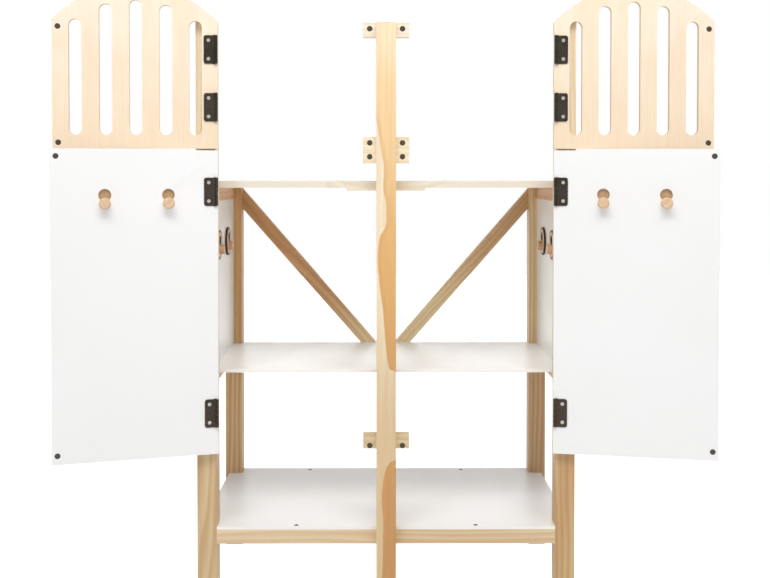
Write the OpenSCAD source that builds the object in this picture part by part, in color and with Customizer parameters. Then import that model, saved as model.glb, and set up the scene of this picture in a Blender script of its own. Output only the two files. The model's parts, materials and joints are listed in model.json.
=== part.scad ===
// Wooden play stable with four hinged doors: two plain lower doors and two
// slatted upper doors with arched tops. All sizes are millimetres.
// X runs to the right, Y to the back and Z up. The origin lies on the floor,
// midway between the side posts, in line with their front faces.

/* [Frame] */
// Width across the corner posts
frame_w = 662; // [600:1:760]
// Depth from the front posts' face to the rear posts' back
frame_d = 356; // [330:1:420]
// Side of the square corner posts
post_w = 34; // [32:1:38]
// Height of the two front corner posts
front_post_h = 1035; // [1032:1:1080]
// Height of the two rear corner posts, up to the top shelf
rear_post_h = 743.5; // [740:0.5:750]
// Height of the centre post
centre_post_h = 1028; // [1020:1:1080]
// Depth of the centre post, front to back
centre_post_d = 45; // [44:1:48]

/* [Rails] */
// Thickness of a rail
rail_t = 18; // [16:1:20]
// Height of a rail
rail_h = 25; // [22:1:28]
// Height of the lowest rails' underside above the floor
bottom_rail_z = 119; // [100:1:160]
// Height of the middle rails' underside above the floor
middle_rail_z = 388.5; // [370:0.5:420]
// Width of a diagonal rear brace along its edge
brace_drop = 40.7; // [36:0.1:44]

/* [Shelves and side panels] */
// Thickness of the bottom and middle shelves
shelf_t = 5; // [4:1:6]
// Thickness of the top shelf
top_shelf_t = 12; // [9:1:15]
// Thickness of a side panel
side_panel_t = 6; // [5:1:8]
// Radius of the ring disc behind each short peg
disc_r = 27.5; // [25:0.5:30]
// Thickness of a ring disc
disc_t = 4; // [3:1:6]

/* [Doors] */
// Thickness of a door
door_t = 9; // [8:1:10]
// Height of the lower doors' bottom edge
lower_door_z = 280.5; // [270:0.5:284]
// Height of the lower doors' top edge
lower_door_top = 808.5; // [805:0.5:809]
// Height of the upper doors' bottom edge
upper_door_z = 811.5; // [811:0.5:813]
// Radius of the upper doors' arched top
arch_r = 190; // [180:1:196]
// Height of the arch's centre
arch_z = 900; // [890:1:905]
// Width of a slot in the upper doors
slot_w = 21.6; // [16:0.2:24]
// Spacing of the slots
slot_pitch = 50.3; // [45:0.1:51]
// Radius of the arc on which the slots end
slot_arc_r = 165.4; // [160:0.1:168]
// Opening of the lower left door in the modelled pose, in front of flat open
lower_left_open = 15.4; // [0:0.1:40]
// Opening of the lower right door in the modelled pose, in front of flat open
lower_right_open = 10.5; // [0:0.1:40]
// Opening of the upper left door in the modelled pose, in front of flat open
upper_left_open = 7.5; // [0:0.1:40]
// Opening of the upper right door in the modelled pose, in front of flat open
upper_right_open = 0.5; // [0:0.1:40]

/* [Hinges] */
// Height of a hinge leaf
leaf_h = 49; // [44:1:52]
// Thickness of a hinge leaf
leaf_t = 1.4; // [1:0.1:1.4]
// Radius of a leaf's outer corners
leaf_corner_r = 4; // [2:0.5:5]
// Radius of the hinge knuckle
knuckle_r = 2.5; // [2.4:0.1:2.6]
// Radius of the hinge pin
pin_r = 1.2; // [1:0.1:1.4]

/* [Pegs and magnets] */
// Radius of a lower door's peg
peg_r = 9.5; // [8:0.5:10]
// Length of a lower door's peg in front of the door
peg_len = 18; // [15:1:30]
// Radius of the round recess above a peg
recess_r = 10.5; // [9:0.5:11]
// Radius of a magnet
magnet_r = 4.8; // [4:0.2:5]
// Thickness of a magnet
magnet_t = 4; // [3:1:5]

/* [Hidden] */
$fn = 48;

SIDES = [-1, 1];

// Places derived from the frame
post_x = frame_w / 2 - post_w;
rear_post_y = frame_d - post_w;
centre_half = post_w / 2;
rail_x = frame_w / 2 - 4 - rail_t;
rail_mid_x = rail_x + rail_t / 2;
rear_rail_y = frame_d - rail_t;
top_rail_z = rear_post_h - rail_h;
bottom_shelf_z = bottom_rail_z + rail_h;
middle_shelf_z = middle_rail_z + rail_h;
shelf_half_w = rail_x + rail_t - 3;
shelf_front_y = post_w + 2;
panel_x = rail_x + 4;

// Hinge axis and the doors' places: closed, the inner face lies stop_gap in
// front of the stop blocks; folded flat open, the door clears the posts.
fold_gap = 1;
face_offset = 2.6;
hinge_x = post_x - 3.8;
hinge_y = -(fold_gap + door_t + face_offset);
edge_overhang = 2.6;
door_w = post_x - centre_half - 3;
door_end = door_w - edge_overhang;
stop_gap = 0.3;
block_front_y = hinge_y - face_offset + stop_gap;
block_d = 18;
block_back_y = block_front_y + block_d;
block_len = 23;
centre_front_y = block_front_y - stop_gap - door_t - 0.3;
centre_back_y = centre_front_y + centre_post_d;

// Stop blocks' lower and upper ends, and their magnets' heights
TOP_BLOCK = [1004, 1028];
MIDDLE_BLOCK = [786.5, 831.5];
BOTTOM_BLOCK = [290.6, 315.4];
LOWER_MAGNETS_Z = [296, 797.6];
UPPER_MAGNETS_Z = [821.5, 1018];
magnet_u = door_end - 9.5;
magnet_x = hinge_x - magnet_u;

// Hinges: five knuckles each, the post leaf has the 1st, 3rd and 5th
LOWER_HINGES_Z = [352, 737];
UPPER_HINGES_Z = [883, 982.5];
HINGES_Z = concat(LOWER_HINGES_Z, UPPER_HINGES_Z);
knuckles = 5;
knuckle_pitch = leaf_h / knuckles;
knuckle_gap = 0.2;
pin_clearance = 0.05;
notch_u = 5;
notch_h = leaf_h + 2;
door_leaf_start = 4.4;
door_leaf_end = 21.3;
post_leaf_front_y = -9.5;
post_leaf_back_y = 20;
leaf_screw_u = 13.2;
leaf_screw_y = 11;
leaf_screw_dz = 16;
leaf_screw_head_r = 3;
leaf_screw_r = 1.5;
post_leaf_screw_len = 15;
door_leaf_screw_len = 9;

// Slots in the upper doors: plain wood below them, and the step of their round ends
slot_margin = 23;
slot_step = 7.5;

// Pegs on the lower doors and short pegs on the side panels
peg_first_u = 81.4;
peg_spacing = 105;
PEGS_U = [peg_first_u, peg_first_u + peg_spacing];
peg_z = 718.3;
recess_rise = 13.8;
recess_depth = 5;
tenon_r = 3;
tenon_len = 6;
peg_tip = 2;
disc_inset = 89;
DISCS_Y = [post_w + disc_inset, rear_post_y - disc_inset];
disc_drop = 82.5;
disc_z = top_rail_z - disc_drop;
disc_offset = 8.5;
short_peg_z = disc_z - disc_offset;
short_peg_r = 9;
short_peg_len = 8;
disc_hole_z = disc_z + disc_offset;
disc_hole_r = 8.75;

// Joinery
dowel_r = 4;
dowel_len = 32;
bolt_r = 3;
bolt_hole_r = 3.2;
bolt_head_r = 6.5;
bolt_head_t = 4;
bolt_z = top_rail_z + rail_h / 2;
front_nut_inset = 66;
rear_nut_inset = 14;
front_nut_y = post_w + front_nut_inset;
rear_nut_y = rear_post_y - rear_nut_inset;
front_bolt_tail = 4;
rear_bolt_tail = 6;
front_bolt_len = front_nut_y + front_bolt_tail - bolt_head_t;
rear_bolt_len = frame_d - rear_nut_y + rear_bolt_tail - bolt_head_t;
nut_r = 5;
nut_len = 14;
small_dowel_r = 3;
small_dowel_len = 20;
small_dowel_front_inset = 116;
small_dowel_rear_inset = 72;
brace_top_gap = 5.1;
brace_top_z = rear_post_h - brace_top_gap;
brace_foot_x = 15.3;
brace_foot_w = 32;
brace_top_dowel_rise = 8.3;
brace_foot_dowel_inset = 20.7;
brace_foot_dowel_x = brace_foot_x + brace_foot_dowel_inset;
gusset_front_half_w = 69.6;
gusset_dowel_inset = 19.6;
gusset_side_dowel_rise = 11;
gusset_post_dowel_rise = 8;
gusset_back_half_w = 106.5;
gusset_batten_t = 5;
gusset_z = rear_post_h - gusset_batten_t;
SHELF_SCREWS_X = [-158, 158];
SHELF_SCREWS_Y = [8, frame_d - 11];
shelf_screw_head_r = 4;
shelf_screw_r = 2;
shelf_screw_head_t = 3;
shelf_screw_len = 24;
cross_margin = 1.2;
cross_w = 0.9;
cross_depth = 0.8;
bleed = 1;

// ---- Shared shapes ----

// Drawn for the right side; the left side is its mirror image
module on_side(side) {
    if (side < 0) mirror([1, 0, 0]) children();
    else children();
}

// Box between two corners
module block(low, high) {
    translate(low) cube(high - low);
}

// Countersunk screw, head flush with Z = 0 and its point downwards; the holes
// take its outer shape, and the screw itself has a cross recess
module screw(head_r, shank_r, head_t, length, recess = false) {
    difference() {
        union() {
            translate([0, 0, -head_t]) cylinder(r1 = shank_r, r2 = head_r, h = head_t);
            translate([0, 0, -length]) cylinder(r = shank_r, h = length - head_t);
        }
        if (recess) cross_recess(head_r - cross_margin);
    }
}

module cross_recess(reach) {
    for (turn = [0, 90]) rotate(turn)
        block([-reach, -cross_w / 2, -cross_depth], [reach, cross_w / 2, bleed]);
}

// Dowel centred at a point, along one of the axes
module dowel(at, turn, r = dowel_r, length = dowel_len) {
    translate(at) rotate(turn) cylinder(r = r, h = length, center = true);
}

ALONG_X = [0, 90, 0];
ALONG_Y = [90, 0, 0];
ALONG_Z = [0, 0, 0];

// Local door frame to the stable: U from the hinge axis along the door, V from
// the inner side to the outer side, turned in front of flat open
module hang(side, open) {
    on_side(side) translate([hinge_x, hinge_y, 0]) rotate([0, 0, -open]) children();
}

// ---- Joinery groups, drawn for the right side ----

module side_rail_dowels() {
    for (z = [bottom_rail_z + rail_h / 2, middle_rail_z + rail_h / 2])
        for (y = [post_w, rear_post_y])
            dowel([rail_mid_x, y, z], ALONG_Y);
}

module cross_rail_dowels() {
    for (z = [bottom_rail_z + rail_h / 2, middle_rail_z + rail_h / 2])
        dowel([post_x, rear_rail_y + rail_t / 2, z], ALONG_X);
    for (x = [centre_half, post_x])
        dowel([x, rail_t / 2, bottom_rail_z + rail_h / 2], ALONG_X);
}

module brace_dowels() {
    top_dowel_z = brace_top_z - brace_drop + brace_top_dowel_rise;
    dowel([post_x, rear_rail_y + rail_t / 2, top_dowel_z], ALONG_X);
    dowel([brace_foot_dowel_x, rear_rail_y + rail_t / 2, middle_shelf_z], ALONG_Z);
}

module rail_dowels_one_side() {
    side_rail_dowels();
    cross_rail_dowels();
    brace_dowels();
}

module shelf_dowels_one_side() {
    for (y = [post_w + small_dowel_front_inset, rear_post_y - small_dowel_rear_inset])
        dowel([rail_mid_x, y, rear_post_h - 1], ALONG_Z, small_dowel_r, small_dowel_len);
    dowel(
        [gusset_front_half_w - gusset_dowel_inset, shelf_front_y, gusset_z + gusset_side_dowel_rise],
        ALONG_Y, small_dowel_r, small_dowel_len
    );
}

module gusset_dowel() {
    dowel(
        [0, centre_back_y, gusset_z + gusset_post_dowel_rise],
        ALONG_Y, small_dowel_r, small_dowel_len
    );
}

module side_bolts(shank_r) {
    translate([rail_mid_x, 0, bolt_z]) rotate([-90, 0, 0]) {
        cylinder(r = bolt_head_r, h = bolt_head_t);
        translate([0, 0, bolt_head_t]) cylinder(r = shank_r, h = front_bolt_len);
    }
    translate([rail_mid_x, frame_d, bolt_z]) rotate([90, 0, 0]) {
        cylinder(r = bolt_head_r, h = bolt_head_t);
        translate([0, 0, bolt_head_t]) cylinder(r = shank_r, h = rear_bolt_len);
    }
}

module side_nuts() {
    for (y = [front_nut_y, rear_nut_y])
        translate([rail_x, y, bolt_z]) rotate(ALONG_X) cylinder(r = nut_r, h = nut_len);
}

module bottom_shelf_screws(recess = false) {
    for (x = SHELF_SCREWS_X)
        for (y = SHELF_SCREWS_Y)
            translate([x, y, bottom_shelf_z + shelf_t])
                screw(shelf_screw_head_r, shelf_screw_r, shelf_screw_head_t, shelf_screw_len, recess);
}

module post_side_screws(recess = false) {
    for (z = HINGES_Z)
        for (dz = [-leaf_screw_dz, leaf_screw_dz])
            translate([post_x - leaf_t, leaf_screw_y, z + dz]) rotate([0, -90, 0])
                screw(leaf_screw_head_r, leaf_screw_r, leaf_t, post_leaf_screw_len, recess);
}

// ---- Frame ----

module front_post() {
    color("#d8b08a") difference() {
        block([post_x, 0, 0], [post_x + post_w, post_w, front_post_h]);
        rail_dowels_one_side();
        side_bolts(bolt_hole_r);
        post_side_screws();
    }
}

module rear_post() {
    color("#a87a48") difference() {
        block([post_x, rear_post_y, 0], [post_x + post_w, frame_d, rear_post_h]);
        rail_dowels_one_side();
        side_bolts(bolt_hole_r);
    }
}

module front_left_post() { on_side(-1) front_post(); }
module front_right_post() { on_side(1) front_post(); }
module rear_left_post() { on_side(-1) rear_post(); }
module rear_right_post() { on_side(1) rear_post(); }

module centre_post() {
    color("#efd3a4") difference() {
        block([-centre_half, centre_front_y, 0], [centre_half, centre_back_y, centre_post_h]);
        for (side = SIDES) on_side(side) cross_rail_dowels();
        gusset_dowel();
    }
}

module front_bottom_rail() {
    color("#dfb784") difference() {
        block([centre_half, 0, bottom_rail_z], [post_x, rail_t, bottom_shelf_z]);
        cross_rail_dowels();
        bottom_shelf_screws();
    }
}

module front_bottom_rail_left() { on_side(-1) front_bottom_rail(); }
module front_bottom_rail_right() { on_side(1) front_bottom_rail(); }

module rear_bottom_rail() {
    color("#c89a66") difference() {
        block([-post_x, rear_rail_y, bottom_rail_z], [post_x, frame_d, bottom_shelf_z]);
        for (side = SIDES) on_side(side) cross_rail_dowels();
        bottom_shelf_screws();
    }
}

module rear_middle_rail() {
    color("#c89a66") difference() {
        block([-post_x, rear_rail_y, middle_rail_z], [post_x, frame_d, middle_shelf_z]);
        for (side = SIDES) on_side(side) {
            cross_rail_dowels();
            brace_dowels();
        }
    }
}

module side_rail(z) {
    block([rail_x, post_w, z], [rail_x + rail_t, rear_post_y, z + rail_h]);
}

module dowelled_side_rail(z) {
    color("#c89a66") difference() {
        side_rail(z);
        side_rail_dowels();
    }
}

module side_bottom_rail_left() { on_side(-1) dowelled_side_rail(bottom_rail_z); }
module side_bottom_rail_right() { on_side(1) dowelled_side_rail(bottom_rail_z); }
module side_middle_rail_left() { on_side(-1) dowelled_side_rail(middle_rail_z); }
module side_middle_rail_right() { on_side(1) dowelled_side_rail(middle_rail_z); }

module side_top_rail() {
    color("#c89a66") difference() {
        side_rail(top_rail_z);
        side_bolts(bolt_hole_r);
        side_nuts();
        shelf_dowels_one_side();
    }
}

module side_top_rail_left() { on_side(-1) side_top_rail(); }
module side_top_rail_right() { on_side(1) side_top_rail(); }

// A brace runs from the rear post's inner face down to the middle rail's top
module rear_brace() {
    color("#b98550") difference() {
        translate([0, frame_d, 0]) rotate([90, 0, 0]) linear_extrude(rail_t)
            polygon([
                [brace_foot_x, middle_shelf_z],
                [brace_foot_x + brace_foot_w, middle_shelf_z],
                [post_x, brace_top_z - brace_drop],
                [post_x, brace_top_z]
            ]);
        brace_dowels();
    }
}

module rear_brace_left() { on_side(-1) rear_brace(); }
module rear_brace_right() { on_side(1) rear_brace(); }

// ---- Shelves, gusset and side panels ----

module bottom_shelf() {
    low = bottom_shelf_z;
    high = bottom_shelf_z + shelf_t;
    color("#eeeae2") difference() {
        union() {
            block([-shelf_half_w, post_w, low], [shelf_half_w, rear_post_y, high]);
            block([-post_x, 0, low], [post_x, frame_d, high]);
        }
        block([-centre_half, -bleed, low - bleed], [centre_half, centre_back_y, high + bleed]);
        bottom_shelf_screws();
    }
}

module middle_shelf() {
    low = middle_shelf_z;
    high = middle_shelf_z + shelf_t;
    color("#eeeae2") union() {
        block([-shelf_half_w, shelf_front_y, low], [shelf_half_w, rear_post_y, high]);
        block([-post_x, shelf_front_y, low], [post_x, rear_rail_y, high]);
    }
}

module top_shelf() {
    half_w = rail_x + rail_t;
    color("#eeeae2") difference() {
        block([-half_w, shelf_front_y, rear_post_h], [half_w, frame_d, rear_post_h + top_shelf_t]);
        for (side = SIDES) on_side(side) shelf_dowels_one_side();
    }
}

// Nose that carries the top shelf to the centre post, with a batten below it
module centre_gusset() {
    color("#e2c08e") difference() {
        union() {
            translate([0, 0, rear_post_h]) linear_extrude(top_shelf_t) polygon([
                [-gusset_front_half_w, centre_back_y],
                [gusset_front_half_w, centre_back_y],
                [gusset_back_half_w, shelf_front_y],
                [-gusset_back_half_w, shelf_front_y]
            ]);
            block(
                [-gusset_front_half_w, centre_back_y, gusset_z],
                [gusset_front_half_w, shelf_front_y, rear_post_h]
            );
        }
        for (side = SIDES) on_side(side) shelf_dowels_one_side();
        gusset_dowel();
    }
}

module short_peg_tenons() {
    for (y = DISCS_Y)
        translate([panel_x - disc_t, y, short_peg_z]) rotate(ALONG_X)
            cylinder(r = tenon_r, h = disc_t + side_panel_t - 1);
}

module side_panel() {
    color("#f2f1ee") difference() {
        block(
            [panel_x, post_w, middle_shelf_z + shelf_t],
            [panel_x + side_panel_t, rear_post_y, top_rail_z]
        );
        short_peg_tenons();
    }
}

module side_panel_left() { on_side(-1) side_panel(); }
module side_panel_right() { on_side(1) side_panel(); }

module side_discs() {
    color("#4a2c17") for (side = SIDES) on_side(side) difference() {
        for (y = DISCS_Y)
            translate([panel_x - disc_t, y, disc_z]) rotate(ALONG_X)
                cylinder(r = disc_r, h = disc_t);
        for (y = DISCS_Y)
            translate([panel_x - disc_t - bleed, y, disc_hole_z]) rotate(ALONG_X)
                cylinder(r = disc_hole_r, h = disc_t + 2 * bleed);
        short_peg_tenons();
    }
}

module side_pegs() {
    color("#dcb888") for (side = SIDES) on_side(side) {
        short_peg_tenons();
        for (y = DISCS_Y)
            translate([panel_x - disc_t, y, short_peg_z]) rotate([0, -90, 0])
                cylinder(r = short_peg_r, h = short_peg_len);
    }
}

// ---- Door stops and their magnets ----

module one_side_stop_magnets() {
    for (z = concat(LOWER_MAGNETS_Z, UPPER_MAGNETS_Z))
        translate([magnet_x, block_front_y, z]) rotate([-90, 0, 0])
            cylinder(r = magnet_r, h = magnet_t);
}

module stop_blocks(ends) {
    color("#ecd2a6") for (side = SIDES) on_side(side) difference() {
        block(
            [centre_half, block_front_y, ends[0]],
            [centre_half + block_len, block_back_y, ends[1]]
        );
        one_side_stop_magnets();
    }
}

module top_stop_blocks() { stop_blocks(TOP_BLOCK); }
module middle_stop_blocks() { stop_blocks(MIDDLE_BLOCK); }
module bottom_stop_blocks() { stop_blocks(BOTTOM_BLOCK); }

module stop_magnets() {
    color("#2b2826") for (side = SIDES) on_side(side) one_side_stop_magnets();
}

// ---- Hidden joinery and fasteners ----

module rail_dowels() {
    color("#d9b98c") for (side = SIDES) on_side(side) rail_dowels_one_side();
}

module shelf_dowels() {
    color("#d9b98c") {
        for (side = SIDES) on_side(side) shelf_dowels_one_side();
        gusset_dowel();
    }
}

module shelf_screws() {
    color("#3a3836") bottom_shelf_screws(recess = true);
}

module rail_bolts() {
    color("#b9bcc0") for (side = SIDES) on_side(side) side_bolts(bolt_r);
}

module barrel_nuts() {
    color("#b9bcc0") for (side = SIDES) on_side(side) difference() {
        side_nuts();
        side_bolts(bolt_r);
    }
}

// ---- Hinges ----

// Knuckles first, first + 2, ... of the hinge at height z, round the axis
module knuckle_barrels(z, first, r, shorten = knuckle_gap) {
    for (i = [first : 2 : knuckles - 1])
        translate([0, 0, z - leaf_h / 2 + i * knuckle_pitch + shorten / 2])
            cylinder(r = r, h = knuckle_pitch - shorten);
}

// Flat leaf from U = near to U = far, with its two far corners rounded. It is
// leaf_t thick in V, from V = 0, and centred on Z = 0.
module leaf_plate(near, far) {
    inner_u = far - leaf_corner_r;
    corner_z = leaf_h / 2 - leaf_corner_r;
    block([near, 0, -leaf_h / 2], [inner_u, leaf_t, leaf_h / 2]);
    block([inner_u - bleed, 0, -corner_z], [far, leaf_t, corner_z]);
    for (z = [-corner_z, corner_z])
        translate([inner_u, 0, z]) rotate([-90, 0, 0]) rotate([0, 0, 180])
            cylinder(r = leaf_corner_r, h = leaf_t);
}

// The post leaf lies on the post's inner side and wraps round to its knuckles
module post_leaf(z) {
    low = z - leaf_h / 2;
    leaf_x = post_x - leaf_t;
    difference() {
        union() {
            translate([post_x, 0, z]) rotate([0, 0, 90])
                leaf_plate(post_leaf_front_y, post_leaf_back_y);
            translate([hinge_x, hinge_y, 0]) knuckle_barrels(z, 0, knuckle_r);
            for (i = [0 : 2 : knuckles - 1]) {
                tab_low = low + i * knuckle_pitch + knuckle_gap / 2;
                tab_high = tab_low + knuckle_pitch - knuckle_gap;
                block(
                    [leaf_x, hinge_y - leaf_t, tab_low],
                    [post_x, post_leaf_front_y, tab_high]
                );
                block([hinge_x, hinge_y - leaf_t, tab_low], [post_x, hinge_y, tab_high]);
            }
        }
        translate([hinge_x, hinge_y, low - bleed]) cylinder(r = pin_r, h = leaf_h + 2 * bleed);
    }
}

module post_hinge_leaves() {
    color("#3a3b3e") for (side = SIDES) on_side(side) difference() {
        for (z = HINGES_Z) post_leaf(z);
        post_side_screws();
    }
}

module hinge_pins() {
    color("#6b6d70") for (side = SIDES) on_side(side)
        for (z = HINGES_Z)
            translate([hinge_x, hinge_y, z]) cylinder(r = pin_r, h = leaf_h, center = true);
}

module post_leaf_screws() {
    color("#b9bcc0") for (side = SIDES) on_side(side) post_side_screws(recess = true);
}

// The door leaf lies on the door's inner face, at V = face_offset
module door_leaf(z) {
    low = z - leaf_h / 2;
    near_v = face_offset - leaf_t;
    difference() {
        union() {
            translate([0, near_v, z]) leaf_plate(door_leaf_start, door_leaf_end);
            knuckle_barrels(z, 1, knuckle_r);
            for (i = [1 : 2 : knuckles - 1]) {
                tab_low = low + i * knuckle_pitch + knuckle_gap / 2;
                tab_high = tab_low + knuckle_pitch - knuckle_gap;
                block([0, near_v, tab_low], [door_leaf_start, face_offset, tab_high]);
            }
        }
        translate([0, 0, low - bleed])
            cylinder(r = pin_r + pin_clearance, h = leaf_h + 2 * bleed);
    }
}

module door_screws(hinges, recess = false) {
    for (z = hinges)
        for (dz = [-leaf_screw_dz, leaf_screw_dz])
            translate([leaf_screw_u, face_offset - leaf_t, z + dz]) rotate([90, 0, 0])
                screw(leaf_screw_head_r, leaf_screw_r, leaf_t, door_leaf_screw_len, recess);
}

module door_leaves(hinges) {
    color("#3a3b3e") difference() {
        for (z = hinges) door_leaf(z);
        door_screws(hinges);
    }
}

module door_leaf_screws(hinges) {
    color("#b9bcc0") door_screws(hinges, recess = true);
}

// ---- Doors, in their local frame ----

module hinge_notches(hinges) {
    for (z = hinges)
        block(
            [-edge_overhang - bleed, face_offset - bleed, z - notch_h / 2],
            [notch_u, face_offset + door_t + bleed, z + notch_h / 2]
        );
}

module magnet_row(heights) {
    for (z = heights)
        translate([magnet_u, face_offset, z]) rotate([-90, 0, 0])
            cylinder(r = magnet_r, h = magnet_t);
}

module door_magnets(heights) {
    color("#2b2826") magnet_row(heights);
}

module peg_tenons() {
    for (u = PEGS_U)
        translate([u, face_offset, peg_z]) rotate([-90, 0, 0])
            cylinder(r = tenon_r, h = tenon_len);
}

module peg_recesses() {
    for (u = PEGS_U)
        translate([u, face_offset - bleed, peg_z + recess_rise]) rotate([-90, 0, 0])
            cylinder(r = recess_r, h = recess_depth + bleed);
}

module lower_panel() {
    color("#fafafa") difference() {
        block(
            [-edge_overhang, face_offset, lower_door_z],
            [door_end, face_offset + door_t, lower_door_top]
        );
        hinge_notches(LOWER_HINGES_Z);
        magnet_row(LOWER_MAGNETS_Z);
        peg_recesses();
        peg_tenons();
        door_screws(LOWER_HINGES_Z);
    }
}

module lower_pegs() {
    color("#e0bd94") {
        peg_tenons();
        for (u = PEGS_U)
            translate([u, face_offset, peg_z]) rotate([90, 0, 0]) {
                cylinder(r = peg_r, h = peg_len - peg_tip);
                translate([0, 0, peg_len - peg_tip])
                    cylinder(r1 = peg_r, r2 = peg_r - peg_tip, h = peg_tip);
            }
    }
}

// One slot with round ends, its top on the slots' arc
module slot(offset) {
    r = slot_w / 2;
    low = upper_door_z + slot_margin + r;
    high = arch_z + sqrt(slot_arc_r * slot_arc_r - offset * offset) - r;
    outline = concat(
        [for (a = [0 : slot_step : 180]) [r * cos(a), high + r * sin(a)]],
        [for (a = [180 : slot_step : 360]) [r * cos(a), low + r * sin(a)]]
    );
    translate([door_w / 2 - edge_overhang + offset, face_offset + door_t + bleed, 0])
        rotate([90, 0, 0]) linear_extrude(door_t + 2 * bleed) polygon(outline);
}

module upper_panel() {
    middle_u = door_w / 2 - edge_overhang;
    color("#f6e3c4") difference() {
        intersection() {
            block(
                [-edge_overhang, face_offset, upper_door_z],
                [door_end, face_offset + door_t, arch_z + arch_r + bleed]
            );
            translate([middle_u, face_offset - bleed, arch_z]) rotate([-90, 0, 0])
                cylinder(r = arch_r, h = door_t + 2 * bleed);
        }
        for (k = [-2 : 2]) slot(k * slot_pitch);
        hinge_notches(UPPER_HINGES_Z);
        magnet_row(UPPER_MAGNETS_Z);
        door_screws(UPPER_HINGES_Z);
    }
}

module lower_left_panel() { hang(-1, lower_left_open) lower_panel(); }
module lower_left_leaves() { hang(-1, lower_left_open) door_leaves(LOWER_HINGES_Z); }
module lower_left_leaf_screws() { hang(-1, lower_left_open) door_leaf_screws(LOWER_HINGES_Z); }
module lower_left_magnets() { hang(-1, lower_left_open) door_magnets(LOWER_MAGNETS_Z); }
module lower_left_pegs() { hang(-1, lower_left_open) lower_pegs(); }

module lower_right_panel() { hang(1, lower_right_open) lower_panel(); }
module lower_right_leaves() { hang(1, lower_right_open) door_leaves(LOWER_HINGES_Z); }
module lower_right_leaf_screws() { hang(1, lower_right_open) door_leaf_screws(LOWER_HINGES_Z); }
module lower_right_magnets() { hang(1, lower_right_open) door_magnets(LOWER_MAGNETS_Z); }
module lower_right_pegs() { hang(1, lower_right_open) lower_pegs(); }

module upper_left_panel() { hang(-1, upper_left_open) upper_panel(); }
module upper_left_leaves() { hang(-1, upper_left_open) door_leaves(UPPER_HINGES_Z); }
module upper_left_leaf_screws() { hang(-1, upper_left_open) door_leaf_screws(UPPER_HINGES_Z); }
module upper_left_magnets() { hang(-1, upper_left_open) door_magnets(UPPER_MAGNETS_Z); }

module upper_right_panel() { hang(1, upper_right_open) upper_panel(); }
module upper_right_leaves() { hang(1, upper_right_open) door_leaves(UPPER_HINGES_Z); }
module upper_right_leaf_screws() { hang(1, upper_right_open) door_leaf_screws(UPPER_HINGES_Z); }
module upper_right_magnets() { hang(1, upper_right_open) door_magnets(UPPER_MAGNETS_Z); }

front_left_post();
front_right_post();
centre_post();
rear_left_post();
rear_right_post();
front_bottom_rail_left();
front_bottom_rail_right();
rear_bottom_rail();
rear_middle_rail();
side_bottom_rail_left();
side_bottom_rail_right();
side_middle_rail_left();
side_middle_rail_right();
side_top_rail_left();
side_top_rail_right();
rear_brace_left();
rear_brace_right();
bottom_shelf();
middle_shelf();
top_shelf();
centre_gusset();
side_panel_left();
side_panel_right();
side_discs();
side_pegs();
top_stop_blocks();
middle_stop_blocks();
bottom_stop_blocks();
stop_magnets();
rail_dowels();
shelf_dowels();
shelf_screws();
barrel_nuts();
rail_bolts();
post_hinge_leaves();
hinge_pins();
post_leaf_screws();
lower_left_panel();
lower_left_leaves();
lower_left_leaf_screws();
lower_left_magnets();
lower_left_pegs();
lower_right_panel();
lower_right_leaves();
lower_right_leaf_screws();
lower_right_magnets();
lower_right_pegs();
upper_left_panel();
upper_left_leaves();
upper_left_leaf_screws();
upper_left_magnets();
upper_right_panel();
upper_right_leaves();
upper_right_leaf_screws();
upper_right_magnets();
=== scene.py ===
"""A wooden play stable with four hinged doors: its finishes, light and camera.

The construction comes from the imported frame. Lengths are in metres, +X to the
right, +Y to the back and +Z up, and colours are written as 0 to 255 sRGB.
"""

import json
import math

import bpy
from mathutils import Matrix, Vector


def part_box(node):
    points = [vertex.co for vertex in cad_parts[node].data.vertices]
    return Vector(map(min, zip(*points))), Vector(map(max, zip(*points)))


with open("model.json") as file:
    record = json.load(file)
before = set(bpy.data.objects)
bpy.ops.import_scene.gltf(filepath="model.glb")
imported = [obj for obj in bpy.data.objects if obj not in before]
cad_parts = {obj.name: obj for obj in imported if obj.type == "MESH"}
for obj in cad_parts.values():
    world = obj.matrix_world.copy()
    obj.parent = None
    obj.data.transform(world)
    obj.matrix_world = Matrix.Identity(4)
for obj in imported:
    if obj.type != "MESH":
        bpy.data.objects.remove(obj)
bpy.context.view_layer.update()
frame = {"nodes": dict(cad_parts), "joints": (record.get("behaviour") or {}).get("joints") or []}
NODES = frame["nodes"]

SIDES = {"left": -1, "right": 1}
X, Y, Z = Vector((1, 0, 0)), Vector((0, 1, 0)), Vector((0, 0, 1))

# ---- Camera, at the photograph's viewing angle ----

LENS_MM = 47.12
SENSOR_MM = 36.0
CAMERA_PLACE = (-0.0069, -1.757, 0.7631)
PITCH_DOWN = math.radians(1.188)
TURN_RIGHT = math.radians(0.20)
SHIFT = (-0.0008, -0.1187)


def make_camera():
    data = bpy.data.cameras.new("camera")
    data.lens = LENS_MM
    data.sensor_width = SENSOR_MM
    data.shift_x, data.shift_y = SHIFT
    camera = bpy.data.objects.new("camera", data)
    camera.location = CAMERA_PLACE
    camera.rotation_euler = (math.pi / 2 - PITCH_DOWN, 0, -TURN_RIGHT)
    bpy.context.scene.collection.objects.link(camera)
    bpy.context.scene.camera = camera


# ---- Colours and shader nodes ----


def srgb(red, green, blue):
    """A colour written as 0 to 255 sRGB, as the linear RGBA that shaders take."""
    channels = []
    for value in (red, green, blue):
        part = value / 255
        channels.append(part / 12.92 if part <= 0.04045 else ((part + 0.055) / 1.055) ** 2.4)
    return (*channels, 1.0)


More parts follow.
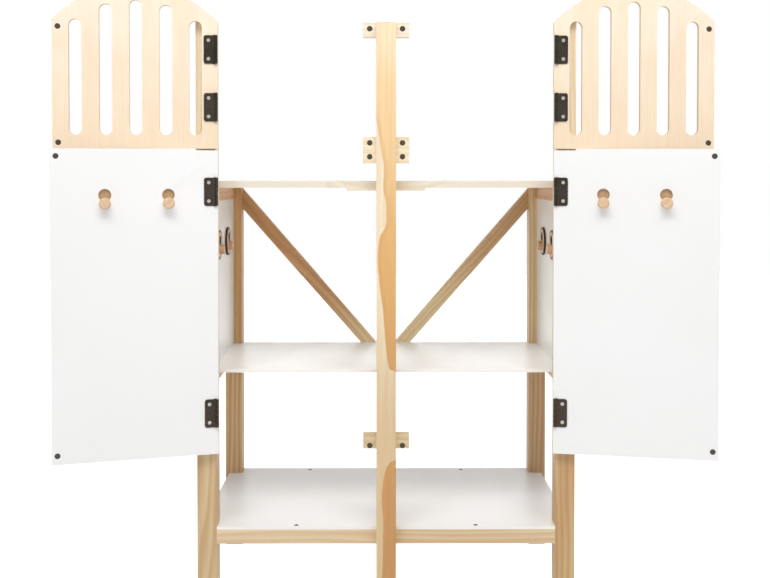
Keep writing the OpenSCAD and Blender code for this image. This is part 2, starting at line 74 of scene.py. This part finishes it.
class Finish:
    """A node material with one Principled surface, and short helpers to build it."""

    def __init__(self, name):
        self.material = bpy.data.materials.new(name)
        self.material.use_nodes = True
        self.tree = self.material.node_tree
        self.surface = self.tree.nodes["Principled BSDF"]

    def node(self, kind, **settings):
        made = self.tree.nodes.new("ShaderNode" + kind)
        for key, value in settings.items():
            setattr(made, key, value)
        return made

    def feed(self, socket, value):
        """Links an output to a socket, or writes a plain value on it."""
        if isinstance(value, bpy.types.NodeSocket):
            self.tree.links.new(value, socket)
        else:
            socket.default_value = value

    def place(self):
        """A point of the piece, in the stable's frame at rest."""
        return self.node("TexCoord").outputs["Object"]

    def math(self, operation, first, second=0.0, third=0.0):
        made = self.node("Math", operation=operation)
        for socket, value in zip(made.inputs, (first, second, third)):
            self.feed(socket, value)
        return made.outputs[0]

    def vector(self, operation, first, second=(0, 0, 0)):
        made = self.node("VectorMath", operation=operation)
        self.feed(made.inputs[0], first)
        self.feed(made.inputs[1], second)
        return made.outputs["Value" if operation in ("DOT_PRODUCT", "LENGTH") else "Vector"]

    def join(self, x, y, z):
        made = self.node("CombineXYZ")
        for socket, value in zip(made.inputs, (x, y, z)):
            self.feed(socket, value)
        return made.outputs[0]

    def noise(self, vector, scale, detail=2.0, roughness=0.5, distortion=0.0):
        made = self.node("TexNoise")
        self.feed(made.inputs["Vector"], vector)
        made.inputs["Scale"].default_value = scale
        made.inputs["Detail"].default_value = detail
        made.inputs["Roughness"].default_value = roughness
        made.inputs["Distortion"].default_value = distortion
        return made.outputs["Fac"]

    def spread(self, value, low, high, to_low=0.0, to_high=1.0, smooth=True):
        """Maps low..high onto to_low..to_high, held at both ends."""
        made = self.node("MapRange", clamp=True)
        made.interpolation_type = "SMOOTHSTEP" if smooth else "LINEAR"
        self.feed(made.inputs["Value"], value)
        limits = {"From Min": low, "From Max": high, "To Min": to_low, "To Max": to_high}
        for name, number in limits.items():
            self.feed(made.inputs[name], number)
        return made.outputs["Result"]

    def mix(self, share, first, second, blend="MIX"):
        made = self.node("Mix", data_type="RGBA", blend_type=blend)
        self.feed(made.inputs["Factor"], share)
        self.feed(made.inputs[6], first)
        self.feed(made.inputs[7], second)
        return made.outputs[2]

    def ramp(self, value, stops):
        made = self.node("ValToRGB")
        elements = made.color_ramp.elements
        for element, (position, colour) in zip(elements, (stops[0], stops[-1])):
            element.position, element.color = position, colour
        for position, colour in stops[1:-1]:
            elements.new(position).color = colour
        self.feed(made.inputs[0], value)
        return made.outputs[0]

    def bump(self, height, strength, depth):
        made = self.node("Bump")
        made.inputs["Strength"].default_value = strength
        made.inputs["Distance"].default_value = depth
        self.feed(made.inputs["Height"], height)
        self.feed(self.surface.inputs["Normal"], made.outputs[0])

    def colour(self, value):
        self.feed(self.surface.inputs["Base Color"], value)

    def rough(self, value):
        self.feed(self.surface.inputs["Roughness"], value)

    def set(self, **values):
        for key, value in values.items():
            self.surface.inputs[key.replace("_", " ")].default_value = value


def dress(node, material):
    """Gives a CAD node one material."""
    slots = NODES[node].data.materials
    slots.clear()
    slots.append(material)


def middle(node):
    low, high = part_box(node)
    return (low + high) / 2


# ---- Wood ----

RING_SPACING = 0.0105
LATEWOOD = 0.70
FINE_FIGURE = {"wander": 0.012, "spacing": 0.0065}
PALE_END_SHARE = 0.85
PALE_END_RINGS = -0.6


def board_frame(finish, centre, along, across):
    """Coordinates in the board: across it, through it and along its grain."""
    through = along.cross(across)
    offset = finish.vector("SUBTRACT", finish.place(), tuple(centre))
    return [finish.vector("DOT_PRODUCT", offset, tuple(axis)) for axis in (across, through, along)]


def rings(finish, u, v, w, pith, seed, wander=0.045, spacing=RING_SPACING):
    """Growth rings round a pith line beside the board, as 0 (early) to 1 (late)."""
    slow = finish.join(u, v, finish.math("MULTIPLY", w, 0.16))
    shifted = finish.vector("ADD", slow, (seed * 0.37, seed * 0.71, seed * 0.53))
    sway = finish.math("SUBTRACT", finish.noise(shifted, 15.0, 2.0, 0.4), 0.5)
    flat = finish.join(finish.math("SUBTRACT", u, pith[0]), finish.math("SUBTRACT", v, pith[1]), 0.0)
    radius = finish.vector("LENGTH", flat)
    swayed = finish.math("MULTIPLY_ADD", sway, wander, radius)
    phase = finish.math("FRACT", finish.math("DIVIDE", swayed, spacing))
    rise = finish.spread(phase, 0.10, LATEWOOD)
    fall = finish.spread(phase, 0.80, 1.0, 1.0, 0.0)
    return finish.math("MULTIPLY", rise, fall)


def fibres(finish, u, v, w, seed):
    """Fine streaks along the grain, 0 to 1."""
    fine = finish.join(u, v, finish.math("MULTIPLY", w, 0.018))
    moved = finish.vector("ADD", fine, (seed * 0.19, seed * 0.43, seed * 0.11))
    return finish.noise(moved, 620.0, 3.0, 0.6)


def blotches(finish, u, v, w, seed, scale=9.0, stretch=0.3):
    """Slow changes of tone along a board, 0 to 1."""
    slow = finish.join(u, v, finish.math("MULTIPLY", w, stretch))
    moved = finish.vector("ADD", slow, (seed * 0.91, seed * 0.23, seed * 0.67))
    return finish.spread(finish.noise(moved, scale, 2.0, 0.5), 0.35, 0.65)


def finish_wood(finish, tone, ring, streak, ring_depth=0.25, gloss=0.42):
    """Adds the fine streaks, the bump of rings and fibres, and a satin surface."""
    shade = finish.spread(streak, 0.25, 0.75, 0.93, 1.03, smooth=False)
    finish.colour(finish.vector("MULTIPLY", tone, finish.join(shade, shade, shade)))
    finish.rough(finish.spread(streak, 0.2, 0.8, gloss - 0.05, gloss + 0.13, smooth=False))
    height = finish.math("MULTIPLY_ADD", ring, ring_depth, streak)
    finish.bump(height, 0.25, 0.0003)
    finish.set(Specular_IOR_Level=0.35)


def pine(
    name, centre, along, across, early, late, warm, pith, seed,
    ring_share=0.5, paler_end=None, fine=False,
):
    """Planed pine: pale early wood, darker late wood and warmer stripes.

    paler_end holds a place along the board, one beyond it and the colour there.
    fine gives close straight rings, as in a quarter-sawn board.
    """
    finish = Finish(name)
    u, v, w = board_frame(finish, centre, along, across)
    figure = FINE_FIGURE if fine else {}
    ring = rings(finish, u, v, w, pith, seed, **figure)
    streak = fibres(finish, u, v, w, seed)
    base = finish.mix(blotches(finish, u, v, w, seed, 30.0, 0.09), srgb(*early), srgb(*warm))
    share = finish.math("MULTIPLY", ring, ring_share)
    if paler_end:
        start, end, pale = paler_end
        fade = finish.spread(w, start, end, 0.0, PALE_END_SHARE)
        base = finish.mix(fade, base, srgb(*pale))
        share = finish.math("MULTIPLY", share, finish.math("MULTIPLY_ADD", fade, PALE_END_RINGS, 1.0))
    finish_wood(finish, finish.mix(share, base, srgb(*late)), ring, streak)
    return finish.material


# ---- Tones of each group of boards ----

FRONT_PINE = {
    "left": {"early": (218, 196, 152), "late": (190, 146, 98), "warm": (210, 172, 134)},
    "right": {"early": (210, 181, 134), "late": (182, 136, 86), "warm": (204, 164, 116)},
}
REAR_PINE = {
    "left": {"early": (222, 188, 140), "late": (182, 134, 88), "warm": (206, 158, 110)},
    "right": {"early": (218, 186, 142), "late": (174, 132, 92), "warm": (200, 162, 118)},
}
REAR_TOP_PALE = {"left": (224, 178, 122), "right": (250, 222, 176)}
BRACE_PINE = {
    "left": {"early": (220, 174, 126), "late": (186, 134, 84), "warm": (204, 152, 102)},
    "right": {"early": (228, 190, 146), "late": (192, 150, 106), "warm": (212, 172, 128)},
}
BRACE_PALE = (255, 235, 188)
POST_TOP_PALE = (255, 240, 208)
RAIL_PINE = {"early": (230, 208, 170), "late": (208, 170, 124), "warm": (222, 196, 158)}
FRONT_RAIL = {
    "left": {"early": (240, 220, 184), "late": (216, 182, 138), "warm": (232, 208, 172)},
    "right": RAIL_PINE,
}
PALE_PINE = {"early": (250, 238, 208), "late": (234, 210, 168), "warm": (246, 228, 192)}
GUSSET_PINE = {"early": (250, 241, 222), "late": (234, 217, 190), "warm": (244, 230, 206)}
PEG_PINE = {"early": (238, 208, 174), "late": (218, 180, 142), "warm": (228, 194, 158)}
SHORT_PEG_PINE = {"early": (230, 194, 160), "late": (204, 160, 124), "warm": (218, 178, 142)}
LOW_BLOCK_PINE = {"early": (226, 208, 170), "late": (204, 172, 128), "warm": (218, 194, 152)}
# Rail tones darkened and warmed with painted shade, for the middle and top rails that sit under the shelves
PAINTED_SHADE_PINE = {"early": (230, 180, 120), "late": (196, 138, 80), "warm": (218, 160, 100)}


def dress_posts():
    for side, sign in SIDES.items():
        node = f"front_{side}_post"
        material = pine(
            node + "_pine", middle(node), Z, X, **FRONT_PINE[side],
            pith=(-0.055 * sign, 0.02), seed=3 + sign, paler_end=(-0.24, 0.14, POST_TOP_PALE),
        )
        dress(node, material)
        node = f"rear_{side}_post"
        material = pine(
            node + "_pine", middle(node), Z, X, **REAR_PINE[side],
            pith=(0.05 * sign, 0.03), seed=9 + sign, ring_share=0.6, fine=side == "right",
            paler_end=(-0.02, 0.12, REAR_TOP_PALE[side]),
        )
        dress(node, material)


def dress_rails():
    seed = 20
    for side in SIDES:
        # The middle and top side rails take the rail tones with painted shade
        for level, tones in (("bottom", RAIL_PINE), ("middle", PAINTED_SHADE_PINE), ("top", PAINTED_SHADE_PINE)):
            node = f"side_{level}_rail_{side}"
            seed += 1
            dress(node, pine(node + "_pine", middle(node), Y, Z, **tones, pith=(0.05, 0.03), seed=seed))
        node = f"front_bottom_rail_{side}"
        seed += 1
        tones = FRONT_RAIL[side]
        dress(node, pine(node + "_pine", middle(node), X, Z, **tones, pith=(-0.06, 0.02), seed=seed))
    # The rear middle rail takes the rail tones with painted shade
    for node, tones in (("rear_bottom_rail", RAIL_PINE), ("rear_middle_rail", PAINTED_SHADE_PINE)):
        seed += 1
        dress(node, pine(node + "_pine", middle(node), X, Z, **tones, pith=(0.05, 0.02), seed=seed))
    for side, sign in SIDES.items():
        node = f"rear_brace_{side}"
        low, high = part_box(node)
        seed += 1
        along = Vector((-sign * (high.x - low.x), 0, low.z - high.z)).normalized()
        across = Y.cross(along)
        pale_from = 0.03 if side == "left" else -0.08
        tones = {**BRACE_PINE[side], "pith": (0.06, 0.02), "seed": seed}
        tones["paler_end"] = (pale_from, pale_from + 0.2, BRACE_PALE)
        dress(node, pine(node + "_pine", middle(node), along, across, **tones))


# ---- Centre post: cream sapwood with a wavy orange heartwood edge ----

# Heights in metres, and how far across the post from its left edge, 0 to 1,
# the heartwood begins there. A value over 1 leaves the face all sapwood.
HEARTWOOD_EDGE = [
    (0.00, 0.30), (0.10, 0.36), (0.17, 0.40), (0.20, 0.33), (0.225, 0.38), (0.25, 0.50), (0.27, 0.78),
    (0.285, 1.20), (0.42, 1.20), (0.43, 0.75), (0.47, 0.54), (0.53, 0.40), (0.56, 0.28),
    (0.59, 0.20), (0.615, 0.14), (0.64, 0.17), (0.662, 0.28), (0.678, 0.52), (0.694, 0.58), (0.726, 0.50),
    (0.745, 0.42), (0.772, 0.45), (0.797, 0.36), (0.823, 0.25), (0.855, 0.08), (0.88, -0.05),
    (1.03, -0.05),
]
# The float curve holds 0 to 1, so places across the post are shifted and scaled
CURVE_SHIFT, CURVE_SPAN = 0.1, 1.35
# How much of the face's width the edge shifts per metre into the post
HEART_LEAN = -5.0
CENTRE_SAP = (252, 234, 204)
CENTRE_SAP_LOW = (226, 200, 160)
# Heartwood colours from the foot of the post to its top
CENTRE_HEART = [
    (0.10, (200, 150, 94)), (0.40, (212, 158, 100)), (0.56, (230, 178, 112)), (0.68, (236, 188, 124)),
    (0.80, (247, 210, 156)), (0.92, (251, 218, 168)), (1.00, (253, 232, 194)),
]


def heartwood_curve(finish, height, top):
    """The heartwood edge's place across the post at a height."""
    curve = finish.node("FloatCurve")
    points = curve.mapping.curves[0].points
    scaled = [(z / top, (across + CURVE_SHIFT) / CURVE_SPAN) for z, across in HEARTWOOD_EDGE]
    points[0].location = scaled[0]
    points[-1].location = scaled[-1]
    for place in scaled[1:-1]:
        points.new(*place)
    curve.mapping.update()
    finish.feed(curve.inputs["Value"], finish.math("DIVIDE", height, top))
    return finish.math("MULTIPLY_ADD", curve.outputs[0], CURVE_SPAN, -CURVE_SHIFT)


def dress_centre_post():
    node = "centre_post"
    low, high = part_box(node)
    finish = Finish("centre_post_pine")
    u, v, w = board_frame(finish, middle(node), Z, X)
    height = finish.math("ADD", w, (low.z + high.z) / 2)
    across = finish.math("DIVIDE", finish.math("ADD", u, (high.x - low.x) / 2), high.x - low.x)
    inward = finish.math("ADD", v, (high.y - low.y) / 2)
    leaning = finish.math("MULTIPLY_ADD", inward, HEART_LEAN, across)
    grain = finish.join(u, v, finish.math("MULTIPLY", w, 0.2))
    ragged = finish.math("SUBTRACT", finish.noise(grain, 90.0, 3.0, 0.6), 0.5)
    edge = heartwood_curve(finish, height, HEARTWOOD_EDGE[-1][0])
    inside = finish.math("SUBTRACT", finish.math("MULTIPLY_ADD", ragged, 0.10, leaning), edge)
    heart = finish.spread(inside, -0.09, -0.03)
    rim = finish.math("MULTIPLY", heart, finish.spread(inside, 0.0, 0.22, 1.0, 0.0))
    ring = rings(finish, u, v, w, (0.07, 0.03), 41, spacing=0.012)
    streak = fibres(finish, u, v, w, 41)
    lowness = finish.spread(height, 0.30, 0.62, 1.0, 0.0)
    sap = finish.mix(lowness, srgb(*CENTRE_SAP), srgb(*CENTRE_SAP_LOW))
    core = finish.ramp(height, [(z, srgb(*colour)) for z, colour in CENTRE_HEART])
    core = finish.mix(finish.math("MULTIPLY", rim, 0.3), core, srgb(214, 158, 96))
    tone = finish.mix(heart, sap, core)
    tone = finish.mix(finish.math("MULTIPLY", ring, 0.16), tone, srgb(214, 170, 118))
    finish_wood(finish, tone, ring, streak)
    dress(node, finish.material)


def dress_pale_wood():
    for node, tones in (
        ("centre_gusset", GUSSET_PINE), ("top_stop_blocks", GUSSET_PINE),
        ("middle_stop_blocks", PALE_PINE), ("bottom_stop_blocks", LOW_BLOCK_PINE),
    ):
        dress(node, pine(node + "_pine", middle(node), X, Z, **tones, pith=(0.05, 0.04), seed=len(node)))
    for node in ("rail_dowels", "shelf_dowels"):
        dress(node, pine(node + "_beech", middle(node), X, Z, **RAIL_PINE, pith=(0.4, 0.3), seed=len(node)))


# ---- White faced boards ----

FACE_SKIN = 0.0004
CUT_REACH = 0.025
CORE_TONES = ((204, 172, 130), (176, 138, 96))
LAYER = 0.003

# The ring discs on the side panels: each has a round hole above its short peg,
# and a burnt band at its rim; the hole's edge is dark brown from laser burn together with painted shade
DISC_HOLE_R = 0.00875
DISC_HOLE_RISE = 0.0085
HOLE_BLEND = 0.0004
HOLE_BURN_AND_SHADE = 0.0020
RIM_BURN = (0.0050, 0.0022)
# Dark brown for the burnt rims, and painted shade at the disc holes and on the panel behind them
BURN_AND_HOLE_SHADE = srgb(68, 40, 20)


def faced_board(name, point, normal, thickness, face, tint, edge=None, cut_box=None, shaded_hole_axes=()):
    """White faced board with banded edges; the core shows only in the cuts inside cut_box.

    The last argument holds axis points of the holes in the discs on it; round these
    the board's face towards the middle of the stable is painted dark brown, painted shade seen down the
    holes.
    """
    finish = Finish(name)
    place = finish.place()
    depth = finish.vector("DOT_PRODUCT", finish.vector("SUBTRACT", place, tuple(point)), tuple(normal))
    inner = finish.math("LESS_THAN", finish.math("ABSOLUTE", depth), thickness / 2 - FACE_SKIN)
    patchy = finish.spread(finish.noise(place, 3.5, 2.0, 0.5), 0.3, 0.7)
    tone = finish.mix(patchy, srgb(*face), srgb(*tint))
    if edge:
        mottle = finish.spread(finish.noise(place, 22.0, 2.0, 0.5), 0.35, 0.65, 0.0, 0.35)
        tone = finish.mix(inner, tone, finish.mix(mottle, srgb(*edge), srgb(*tint)))
    if cut_box:
        layers = finish.math("FRACT", finish.math("DIVIDE", depth, LAYER))
        speck = finish.noise(place, 260.0, 3.0, 0.6)
        core = finish.mix(finish.spread(layers, 0.3, 0.7), srgb(*CORE_TONES[0]), srgb(*CORE_TONES[1]))
        core = finish.mix(finish.spread(speck, 0.4, 0.75, 0.0, 0.35), core, srgb(170, 134, 92))
        box_low, box_high = cut_box
        half = (box_high - box_low) / 2
        away = finish.vector("SUBTRACT", place, tuple((box_low + box_high) / 2))
        spans = [finish.vector("DOT_PRODUCT", away, tuple(axis)) for axis in (X, Z)]
        within = finish.math(
            "MULTIPLY",
            finish.math("LESS_THAN", finish.math("ABSOLUTE", spans[0]), half.x + CUT_REACH),
            finish.math("LESS_THAN", finish.math("ABSOLUTE", spans[1]), half.z + CUT_REACH),
        )
        tone = finish.mix(finish.math("MULTIPLY", inner, within), tone, core)
    # Painted shade: dark brown on the panel's face behind each disc hole
    if shaded_hole_axes:
        hole_shade = near_holes(finish, shaded_hole_axes, DISC_HOLE_R, DISC_HOLE_R + HOLE_BLEND)
        outward = finish.math("MULTIPLY", depth, math.copysign(1, point.x))
        hole_shade = finish.math("MULTIPLY", hole_shade, finish.math("LESS_THAN", outward, 0.0))
        tone = finish.mix(hole_shade, tone, BURN_AND_HOLE_SHADE)
    finish.colour(tone)
    orange_peel = finish.noise(place, 420.0, 2.0, 0.5)
    finish.rough(finish.spread(finish.noise(place, 40.0, 3.0, 0.6), 0.3, 0.7, 0.30, 0.42))
    finish.bump(orange_peel, 0.06, 0.0002)
    finish.set(Specular_IOR_Level=0.4)
    return finish.material


def disc_points():
    """The two disc centres of a side, on the plane of the side panels."""
    low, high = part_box("side_discs")
    disc_r = (high.z - low.z) / 2
    return disc_r, [Vector((0, y, (low.z + high.z) / 2)) for y in (low.y + disc_r, high.y - disc_r)]


def nearest(finish, points):
    """How far the nearest of two axes along X runs from a place."""
    flat = finish.vector("MULTIPLY", finish.place(), (0, 1, 1))
    reach = [finish.vector("LENGTH", finish.vector("SUBTRACT", flat, tuple(point))) for point in points]
    return finish.math("MINIMUM", *reach)


def near_holes(finish, points, start, end):
    """1 near the axes, 0 beyond them."""
    return finish.spread(nearest(finish, points), start, end, 1.0, 0.0)


def dress_boards():
    for node, face, tint, edge in (
        ("bottom_shelf", (251, 250, 249), (247, 246, 244), (251, 248, 241)),
        ("middle_shelf", (253, 252, 251), (249, 248, 247), (253, 251, 246)),
        ("top_shelf", (250, 244, 232), (244, 234, 216), (238, 226, 209)),
    ):
        low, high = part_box(node)
        dress(node, faced_board(node + "_board", middle(node), Z, high.z - low.z, face, tint, edge))
    for side in SIDES:
        node = f"side_panel_{side}"
        low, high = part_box(node)
        tones = ((252, 251, 249), (248, 247, 244))
        # Axis points of the disc holes, where the panel's face gets painted shade
        holes = [point + Z * DISC_HOLE_RISE for point in disc_points()[1]]
        board = faced_board(node + "_board", middle(node), X, high.x - low.x, *tones, shaded_hole_axes=holes)
        dress(node, board)


# ---- Doors ----

HINGE_FOR = {joint["child"]: joint for joint in frame["joints"]}
DOOR_OFFSET = 0.0026
DOOR_THICKNESS = 0.009


def door_axes(body):
    """A point on the hinge axis, and the door's directions along and through it."""
    joint = HINGE_FOR[body]
    point = Vector(joint["pos_m"])
    sign = 1 if point.x > 0 else -1
    open_angle = math.radians(-joint["range_deg"][0])
    along = Vector((sign * math.cos(open_angle), -math.sin(open_angle), 0))
    through = Vector((sign * math.sin(open_angle), math.cos(open_angle), 0))
    return point, along, through


def dress_lower_doors():
    for side in SIDES:
        point, along, through = door_axes(f"lower_{side}_door")
        centre = point + through * (DOOR_OFFSET + DOOR_THICKNESS / 2)
        material = faced_board(
            f"lower_{side}_board", centre, through, DOOR_THICKNESS, (250, 250, 250), (247, 247, 246),
            edge=(250, 248, 244), cut_box=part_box(f"lower_{side}_pegs"),
        )
        dress(f"lower_{side}_panel", material)
        peg = pine(
            f"lower_{side}_peg_wood", middle(f"lower_{side}_pegs"), through, Z, **PEG_PINE,
            pith=(0.02, 0.01), seed=60,
        )
        dress(f"lower_{side}_pegs", peg)


def birch_ply(name, centre, along, through):
    """Birch plywood: pale soft figure on the faces, and layers at the cut edges."""
    finish = Finish(name)
    offset = finish.vector("SUBTRACT", finish.place(), tuple(centre))
    u = finish.vector("DOT_PRODUCT", offset, tuple(along))
    v = finish.vector("DOT_PRODUCT", offset, tuple(through))
    w = finish.vector("DOT_PRODUCT", offset, tuple(Z))
    bands = finish.noise(finish.join(u, v, finish.math("MULTIPLY", w, 0.12)), 26.0, 3.0, 0.5, 0.3)
    clouds = finish.noise(finish.join(u, v, w), 8.0, 2.0, 0.5)
    streak = fibres(finish, u, v, w, 5)
    lowness = finish.spread(w, -0.13, 0.10, 1.0, 0.0)
    face = finish.mix(lowness, srgb(253, 238, 216), srgb(249, 227, 198))
    face = finish.mix(finish.spread(bands, 0.35, 0.7, 0.0, 0.5), face, srgb(250, 226, 194))
    face = finish.mix(finish.spread(clouds, 0.5, 0.7, 0.0, 0.5), face, srgb(250, 222, 192))
    layer = finish.math("FRACT", finish.math("DIVIDE", finish.math("ADD", v, 1.0), LAYER))
    cut = finish.mix(finish.spread(layer, 0.42, 0.58), srgb(236, 208, 162), srgb(204, 168, 118))
    inner = finish.math("LESS_THAN", finish.math("ABSOLUTE", v), DOOR_THICKNESS / 2 - FACE_SKIN)
    finish_wood(finish, finish.mix(inner, face, cut), bands, streak, ring_depth=0.1, gloss=0.40)
    return finish.material


def dress_upper_doors():
    for side in SIDES:
        point, along, through = door_axes(f"upper_{side}_door")
        centre = point + through * (DOOR_OFFSET + DOOR_THICKNESS / 2)
        dress(f"upper_{side}_panel", birch_ply(f"upper_{side}_ply", centre, along, through))


# ---- Metal, magnets, discs and pegs ----


def black_nickel():
    finish = Finish("black_nickel")
    place = finish.place()
    cloud = finish.noise(place, 34.0, 2.0, 0.5)
    finish.colour(finish.mix(cloud, srgb(46, 40, 34), srgb(69, 63, 56)))
    finish.rough(finish.spread(finish.noise(place, 300.0, 2.0, 0.5), 0.3, 0.7, 0.20, 0.30))
    finish.bump(finish.noise(place, 500.0, 2.0, 0.5), 0.02, 0.0001)
    finish.set(Metallic=1.0)
    return finish.material


def plain_metal(name, low, high, rough):
    finish = Finish(name)
    place = finish.place()
    finish.colour(finish.mix(finish.noise(place, 240.0, 3.0, 0.6), srgb(*low), srgb(*high)))
    finish.rough(finish.spread(finish.noise(place, 500.0, 2.0, 0.5), 0.3, 0.7, rough - 0.06, rough + 0.08))
    finish.bump(finish.noise(place, 1200.0, 2.0, 0.5), 0.1, 0.0001)
    finish.set(Metallic=1.0)
    return finish.material


def magnet_finish():
    finish = Finish("magnet_coating")
    place = finish.place()
    finish.colour(finish.mix(finish.noise(place, 300.0, 3.0, 0.6), srgb(52, 44, 38), srgb(78, 66, 54)))
    finish.rough(finish.spread(finish.noise(place, 700.0, 2.0, 0.5), 0.3, 0.7, 0.35, 0.5))
    finish.bump(finish.noise(place, 900.0, 2.0, 0.5), 0.15, 0.0001)
    finish.set(Metallic=0.4)
    return finish.material


def burnt_and_shaded_disc(name):
    """Light wooden disc whose rim is burnt dark brown; its hole edge is dark brown from laser burn together
    with painted shade.
    """
    finish = Finish(name)
    disc_r, centres = disc_points()
    uneven = finish.math("SUBTRACT", finish.noise(finish.place(), 160.0, 3.0, 0.6), 0.5)
    outward = finish.math("ADD", nearest(finish, centres), finish.math("MULTIPLY", uneven, 0.003))
    rim = finish.spread(outward, disc_r - RIM_BURN[0], disc_r - RIM_BURN[1])
    holes = [point + Z * DISC_HOLE_RISE for point in centres]
    hole_edge = near_holes(finish, holes, DISC_HOLE_R + HOLE_BLEND, DISC_HOLE_R + HOLE_BURN_AND_SHADE)
    # Burn at the rim; at the hole's edge, burn together with painted shade
    rim_burn_and_hole_shade = finish.math("MAXIMUM", rim, hole_edge)
    u, v, w = board_frame(finish, middle("side_discs"), Z, Y)
    streak = fibres(finish, u, v, w, 77)
    wood = finish.mix(blotches(finish, u, v, w, 77, 30.0), srgb(236, 206, 174), srgb(222, 186, 150))
    finish_wood(finish, finish.mix(rim_burn_and_hole_shade, wood, BURN_AND_HOLE_SHADE), streak, streak)
    return finish.material


def dress_small_parts():
    nickel = black_nickel()
    bright = plain_metal("zinc_steel", (146, 143, 137), (186, 183, 176), 0.34)
    dark = plain_metal("dark_steel", (66, 62, 58), (96, 90, 84), 0.4)
    magnet = magnet_finish()
    for node in NODES:
        if node.endswith("leaves") or node == "hinge_pins":
            dress(node, nickel)
        elif node.endswith("leaf_screws") or node in ("barrel_nuts", "rail_bolts"):
            dress(node, bright)
        elif node == "shelf_screws":
            dress(node, dark)
        elif node.endswith("magnets"):
            dress(node, magnet)
    dress("side_discs", burnt_and_shaded_disc("burnt_and_shaded_disc_wood"))
    pegs = middle("side_pegs")
    dress("side_pegs", pine("side_peg_wood", pegs, X, Z, **SHORT_PEG_PINE, pith=(0.02, 0.01), seed=61))


# ---- Softened edges ----

EDGE_ANGLE = math.radians(50)


def soften(node, width, segments=3):
    """Rounds the arrises of a CAD node over its joined faces."""
    piece = NODES[node]
    weld = piece.modifiers.new("join_faces", "WELD")
    weld.merge_threshold = 0.00001
    bevel = piece.modifiers.new("soft_edges", "BEVEL")
    bevel.width = width
    bevel.segments = segments
    bevel.limit_method = "ANGLE"
    bevel.angle_limit = EDGE_ANGLE
    bevel.harden_normals = False


EDGE_WIDTHS = {
    "post": 0.0015, "rail": 0.0012, "rail_left": 0.0012, "rail_right": 0.0012,
    "brace_left": 0.0012, "brace_right": 0.0012, "gusset": 0.001, "blocks": 0.0008,
    "shelf": 0.0006, "panel": 0.0005, "panel_left": 0.0005, "panel_right": 0.0005,
    "discs": 0.0006, "pegs": 0.0006, "leaves": 0.0002,
}


def soften_edges():
    for node in NODES:
        if node == "bottom_shelf":
            continue
        for ending, width in EDGE_WIDTHS.items():
            if node.endswith(ending):
                soften(node, width)
                break


# ---- Light, floor and backdrop ----

AMBIENT = 0.46
SHOWN_TO = ("Is Camera Ray", "Is Glossy Ray", "Is Transmission Ray")


def seen_share(tree):
    """1 where the camera, a reflection or a refraction looks, else 0."""
    path = tree.nodes.new("ShaderNodeLightPath")
    total = None
    for name in SHOWN_TO:
        if total is None:
            total = path.outputs[name]
            continue
        larger = tree.nodes.new("ShaderNodeMath")
        larger.operation = "MAXIMUM"
        tree.links.new(total, larger.inputs[0])
        tree.links.new(path.outputs[name], larger.inputs[1])
        total = larger.outputs[0]
    return total


def make_world():
    world = bpy.data.worlds.new("studio")
    bpy.context.scene.world = world
    world.use_nodes = True
    tree = world.node_tree
    background = tree.nodes["Background"]
    strength = tree.nodes.new("ShaderNodeMapRange")
    strength.inputs["To Min"].default_value = AMBIENT
    strength.inputs["To Max"].default_value = 1.0
    tree.links.new(seen_share(tree), strength.inputs["Value"])
    tree.links.new(strength.outputs["Result"], background.inputs["Strength"])
    background.inputs["Color"].default_value = (1, 1, 1, 1)


FLOOR_HALF = 6.0
FLOOR_SHOWN = 0.93


def make_floor():
    """A pale floor that keeps a soft trace of the shadow."""
    mesh = bpy.data.meshes.new("floor")
    corners = [(x * FLOOR_HALF, y * FLOOR_HALF, 0) for x, y in ((-1, -1), (1, -1), (1, 1), (-1, 1))]
    mesh.from_pydata(corners, [], [(0, 1, 2, 3)])
    floor = bpy.data.objects.new("floor", mesh)
    bpy.context.scene.collection.objects.link(floor)
    material = bpy.data.materials.new("floor")
    material.use_nodes = True
    tree = material.node_tree
    surface = tree.nodes["Principled BSDF"]
    surface.inputs["Base Color"].default_value = srgb(240, 240, 240)
    surface.inputs["Roughness"].default_value = 0.9
    surface.inputs["Emission Color"].default_value = (1, 1, 1, 1)
    glow = tree.nodes.new("ShaderNodeMath")
    glow.operation = "MULTIPLY"
    glow.inputs[1].default_value = FLOOR_SHOWN
    tree.links.new(seen_share(tree), glow.inputs[0])
    tree.links.new(glow.outputs[0], surface.inputs["Emission Strength"])
    mesh.materials.append(material)


# Name, place, target, width and height in metres, and watts
LAMPS = [
    ("key", (-0.6, -1.5, 2.7), (-0.1, 0.1, 0.5), (1.6, 1.0), 25),
    ("second", (0.6, -1.5, 2.7), (0.1, 0.1, 0.5), (1.6, 1.0), 21),
    ("fill", (0.3, -3.4, 1.0), (0, 0.1, 0.4), (2.4, 1.2), 5),
    ("back", (0.3, 3.4, 0.9), (0, 0.2, 0.45), (2.4, 1.2), 4),
]


def make_lamp(name, place, target, size, power):
    data = bpy.data.lights.new(name, "AREA")
    data.shape = "RECTANGLE"
    data.size, data.size_y = size
    data.energy = power
    lamp = bpy.data.objects.new(name, data)
    lamp.location = place
    lamp.rotation_euler = (Vector(target) - Vector(place)).to_track_quat("-Z", "Y").to_euler()
    bpy.context.scene.collection.objects.link(lamp)


def light_scene():
    make_world()
    make_floor()
    for lamp in LAMPS:
        make_lamp(*lamp)
    bpy.context.scene.view_settings.view_transform = "Standard"


# ---- Put together ----

make_camera()
dress_posts()
dress_rails()
dress_centre_post()
dress_pale_wood()
dress_boards()
dress_lower_doors()
dress_upper_doors()
dress_small_parts()
soften_edges()
light_scene()
